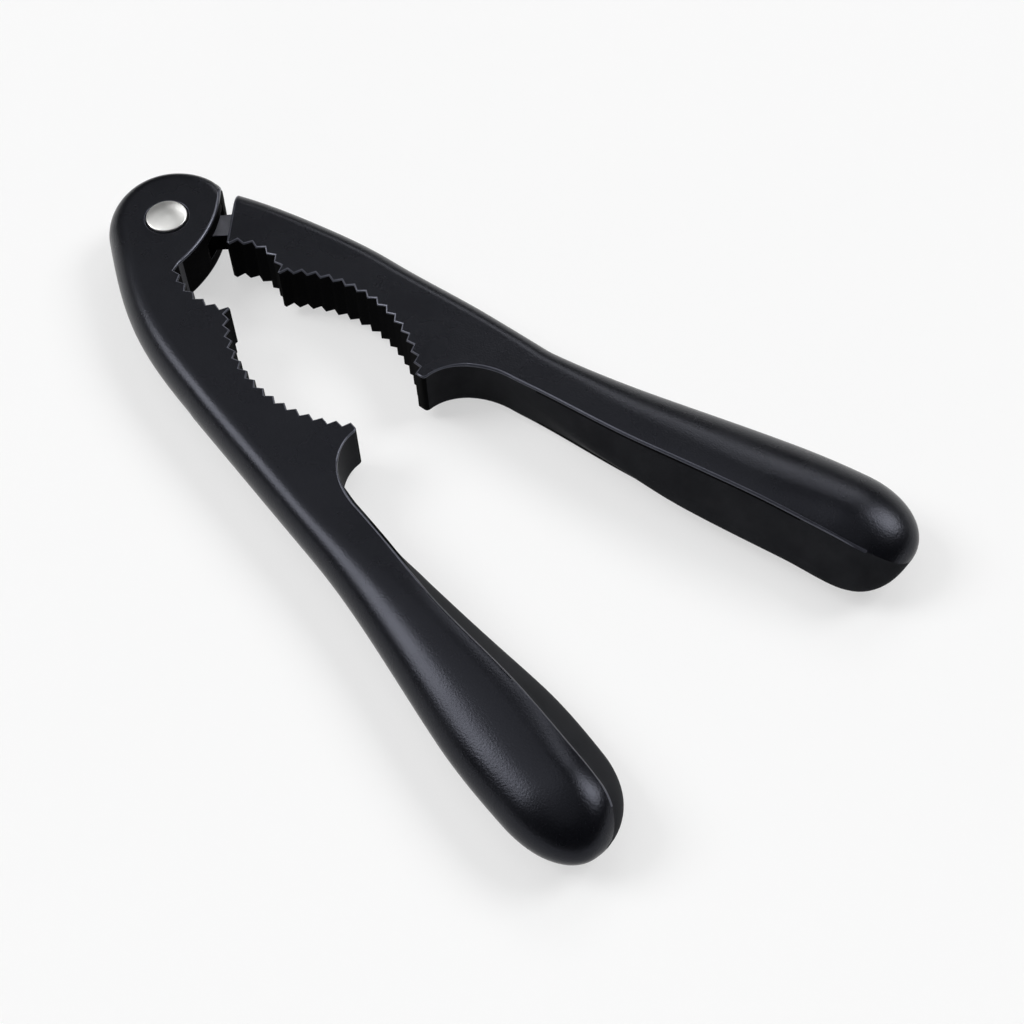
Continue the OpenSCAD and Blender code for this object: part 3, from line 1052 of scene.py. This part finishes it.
# Where the strip just under the lip gets the dull coat as painted shade: a stretch along the handle, and a
# share of the lip's drop.
LIP_SHADE = (84.0, 138.0)
LIP_SHADE_DEPTH = 0.8


def in_hinge(spot, lever):
    if lever == "tongue":
        return spot.dot(polar(1, SHOULDER_DIR)) < SHOULDER - LIP_REACH
    return (spot - HEAD_MID).length < HEAD_R - SLOT_EDGE_GAP


def on_back(spot, lever):
    if lever == "fork" and abs((spot - HEAD_MID).length - HEAD_R) < SLOT_EDGE_GAP:
        return True
    return spot.y > BACK_Y - BACK_ROUND or abs((spot - BACK_MID).length - BACK_RADIUS) < BACK_NEAR


def coat_of(polygon, lever):
    x, y, z = to_lever(polygon.center, lever)
    spot = Vector((x, y))
    if abs(z) < HINGE_HEIGHT + LIP_REACH and in_hinge(spot, lever):
        flat = abs(polygon.normal.z) > FLAT_NORMAL
        return rubbed_coat if lever == "tongue" and flat else dull_coat_and_painted_shade
    if x < SWELL_X:
        if abs(polygon.normal.z) > WALL_NORMAL or on_back(spot, lever):
            return black_coat
        return dull_coat_and_painted_shade if x < TIP_X else matte_coat
    lip_y, lip_z = half_section(x, lever, math.copysign(1, z))[LIP_POINT]
    depth = lip_z - abs(z)
    if y > lip_y + LIP_REACH or depth < LIP_REACH:
        return black_coat
    # Painted shade: just under the lip the dull coat, darker than the matte side, stands in for the shadow
    # there.
    in_shade = LIP_SHADE[0] < x < LIP_SHADE[1]
    under_lip = depth < along(x, LIP_DROP[lever]) * LIP_SHADE_DEPTH
    return dull_coat_and_painted_shade if in_shade and under_lip else matte_coat


def coat(piece, lever):
    piece.data.materials.clear()
    for material in COATS:
        piece.data.materials.append(material)
    counts = [0] * len(COATS)
    for polygon in piece.data.polygons:
        polygon.material_index = COATS.index(coat_of(polygon, lever))
        counts[polygon.material_index] += 1
    print(piece.name, "faces in each coat:", counts)


coat(fork_casting, "fork")
coat(tongue_casting, "tongue")

# %% [markdown]
# ## The steel of the rivet
# The rivet head was turned and then set, so fine circles run around its middle and spread each highlight
# sideways. Rings of bump alone would need a very fine mesh of pixels, so the shader is made anisotropic as
# well, with its direction taken around the axis. The grain group adds the uneven gloss of handled steel.

# %% Rivet steel
PLAIN_SHINE = (1, 1, 1)
STEEL_STRETCH = 0.3
RING_SCALE = 900.0
RING_WOBBLE = 1.5
RING_BUMP = 0.06
RING_DEPTH = 0.02


def make_rivet_steel():
    steel = grained_material("rivet_steel", {
        "dark": (0.66, 0.66, 0.645), "light": (0.74, 0.74, 0.725), "rough": (0.32, 0.38),
        "grain": 2400, "cloud": 400, "bump": 0.1, "peel": 0.01,
        "metal": 1.0, "specular": 0.5, "shine": PLAIN_SHINE,
    })
    nodes = steel.node_tree.nodes
    links = steel.node_tree.links
    surface = nodes["Principled BSDF"]
    surface.inputs["Anisotropic"].default_value = STEEL_STRETCH
    around = place_node(nodes, "ShaderNodeTangent", -2, 4, direction_type="RADIAL", axis="Z")
    links.new(around.outputs["Tangent"], surface.inputs["Tangent"])
    spot = place_node(nodes, "ShaderNodeTexCoord", -5, 3)
    rings = place_node(nodes, "ShaderNodeTexWave", -4, 3, wave_type="RINGS", rings_direction="Z")
    rings.inputs["Scale"].default_value = RING_SCALE
    rings.inputs["Distortion"].default_value = RING_WOBBLE
    links.new(spot.outputs["Object"], rings.inputs["Vector"])
    turning = place_node(nodes, "ShaderNodeBump", -1, 3)
    turning.inputs["Strength"].default_value = RING_BUMP
    turning.inputs["Distance"].default_value = RING_DEPTH * MM
    links.new(rings.outputs["Fac"], turning.inputs["Height"])
    links.new(surface.inputs["Normal"].links[0].from_socket, turning.inputs["Normal"])
    links.new(turning.outputs["Normal"], surface.inputs["Normal"])
    return steel


rivet_steel = make_rivet_steel()
for piece in (rivet_dome, rivet_foot):
    piece.data.materials.clear()
    piece.data.materials.append(rivet_steel)
print("steel on:", rivet_dome.name, "and", rivet_foot.name)

# %% [markdown]
# ## Onto the frame
# Each piece now takes the place of a CAD solid and rides on that solid's body, so the hinge of the frame
# moves it.

# %% Bodies and replaced solids
for piece, node, body, finish in (
    (fork_casting, "fork_lever", "fork", "coated_casting"),
    (tongue_casting, "tongue_lever", "tongue", "coated_casting"),
    (rivet_dome, "rivet_pin", "fork", "rivet_steel"),
    (rivet_foot, "rivet_sleeve", "fork", "rivet_steel"),
):
    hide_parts(node)
    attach(piece, body)
    print(piece.name, "stands for", node, "and rides on", body)

# %% [markdown]
# ## Floor and light
# The tool lies on a plain white floor that bends up into a low backdrop far away. A soft light overhead and
# a broad one from beyond the rivet make the shadow close to the tool. Two stronger ones, from the left and
# the right, draw the long bands along the rounded edges, and two weak ones behind fill the gaps between the
# bands. They are sun lamps with a wide angle: in the coating they look like soft boxes, and they light the
# floor evenly. The floor shows itself part white to the camera and in reflections, so that it stays bright
# without more light on the tool.

# %% Floor
FLOOR_Z = MID_Z - BULB_H
FLOOR_GLOW = 0.56
# Each step of the floor is a radius and a rise in millimetres.
FLOOR_PROFILE = ((0, 0), (400, 0), (2400, 0), (2800, 40), (3050, 160), (3150, 330), (3160, 600))


def make_floor():
    sheet = turned("floor", [(radius, FLOOR_Z + rise) for radius, rise in FLOOR_PROFILE])
    paper = grained_material("floor_paper", {
        "dark": (0.88, 0.88, 0.88), "light": (0.9, 0.9, 0.9), "rough": (0.9, 1.0),
        "grain": 300, "cloud": 6, "bump": 0.02, "peel": 0.05,
        "metal": 0.0, "specular": 0.0, "shine": PLAIN_SHINE,
    })
    nodes = paper.node_tree.nodes
    links = paper.node_tree.links
    ray = place_node(nodes, "ShaderNodeLightPath", 0, 2)
    seen = ray.outputs["Is Camera Ray"]
    for kind in ("Is Glossy Ray", "Is Transmission Ray"):
        either = place_node(nodes, "ShaderNodeMath", 1, 2, operation="MAXIMUM")
        links.new(seen, either.inputs[0])
        links.new(ray.outputs[kind], either.inputs[1])
        seen = either.outputs["Value"]
    part = place_node(nodes, "ShaderNodeMath", 2, 2, operation="MULTIPLY")
    part.inputs[1].default_value = FLOOR_GLOW
    links.new(seen, part.inputs[0])
    glow = place_node(nodes, "ShaderNodeEmission", 2, 1)
    both = place_node(nodes, "ShaderNodeMixShader", 3, 0)
    links.new(part.outputs["Value"], both.inputs["Fac"])
    links.new(nodes["Principled BSDF"].outputs["BSDF"], both.inputs[1])
    links.new(glow.outputs["Emission"], both.inputs[2])
    links.new(both.outputs["Shader"], nodes["Material Output"].inputs["Surface"])
    sheet.data.materials.append(paper)
    sheet.data.polygons.foreach_set("use_smooth", [True] * len(sheet.data.polygons))
    return sheet


floor = make_floor()
print("floor at", round(FLOOR_Z, 2), "mm")

# %% Lights and world
# Each lamp has a name, the direction it shines from, a strength and a width in degrees.
LAMPS = (
    ("top_box", (-0.05, -0.1, 0.99), 0.2, 50),
    ("sky_box", (-0.469, 0.0, 0.883), 0.45, 48),
    ("left_box", (-0.62, -0.42, 0.66), 1.5, 28),
    ("right_box", (0.27, 0.67, 0.69), 1.5, 27),
    ("back_box", (-0.287, 0.71, 0.643), 0.3, 20),
    ("far_box", (-0.523, 0.624, 0.581), 0.16, 14),
)
WORLD_GREY = 0.05


def hang_lamp(name, direction, power, width):
    lamp = bpy.data.lights.new(name, "SUN")
    lamp.energy = power
    lamp.angle = math.radians(width)
    lamp_object = bpy.data.objects.new(name, lamp)
    lamp_object.rotation_euler = Vector(direction).to_track_quat("Z", "Y").to_euler()
    lamp_object.location = Vector(direction)
    scene.collection.objects.link(lamp_object)


def make_world():
    world = bpy.data.worlds.new("studio")
    world.use_nodes = True
    sky = world.node_tree.nodes["Background"]
    sky.inputs["Color"].default_value = (WORLD_GREY, WORLD_GREY, WORLD_GREY, 1)
    return world


for lamp_values in LAMPS:
    hang_lamp(*lamp_values)
scene.world = make_world()
scene.view_settings.view_transform = "Standard"
print("lamps:", [name for name, *_ in LAMPS])
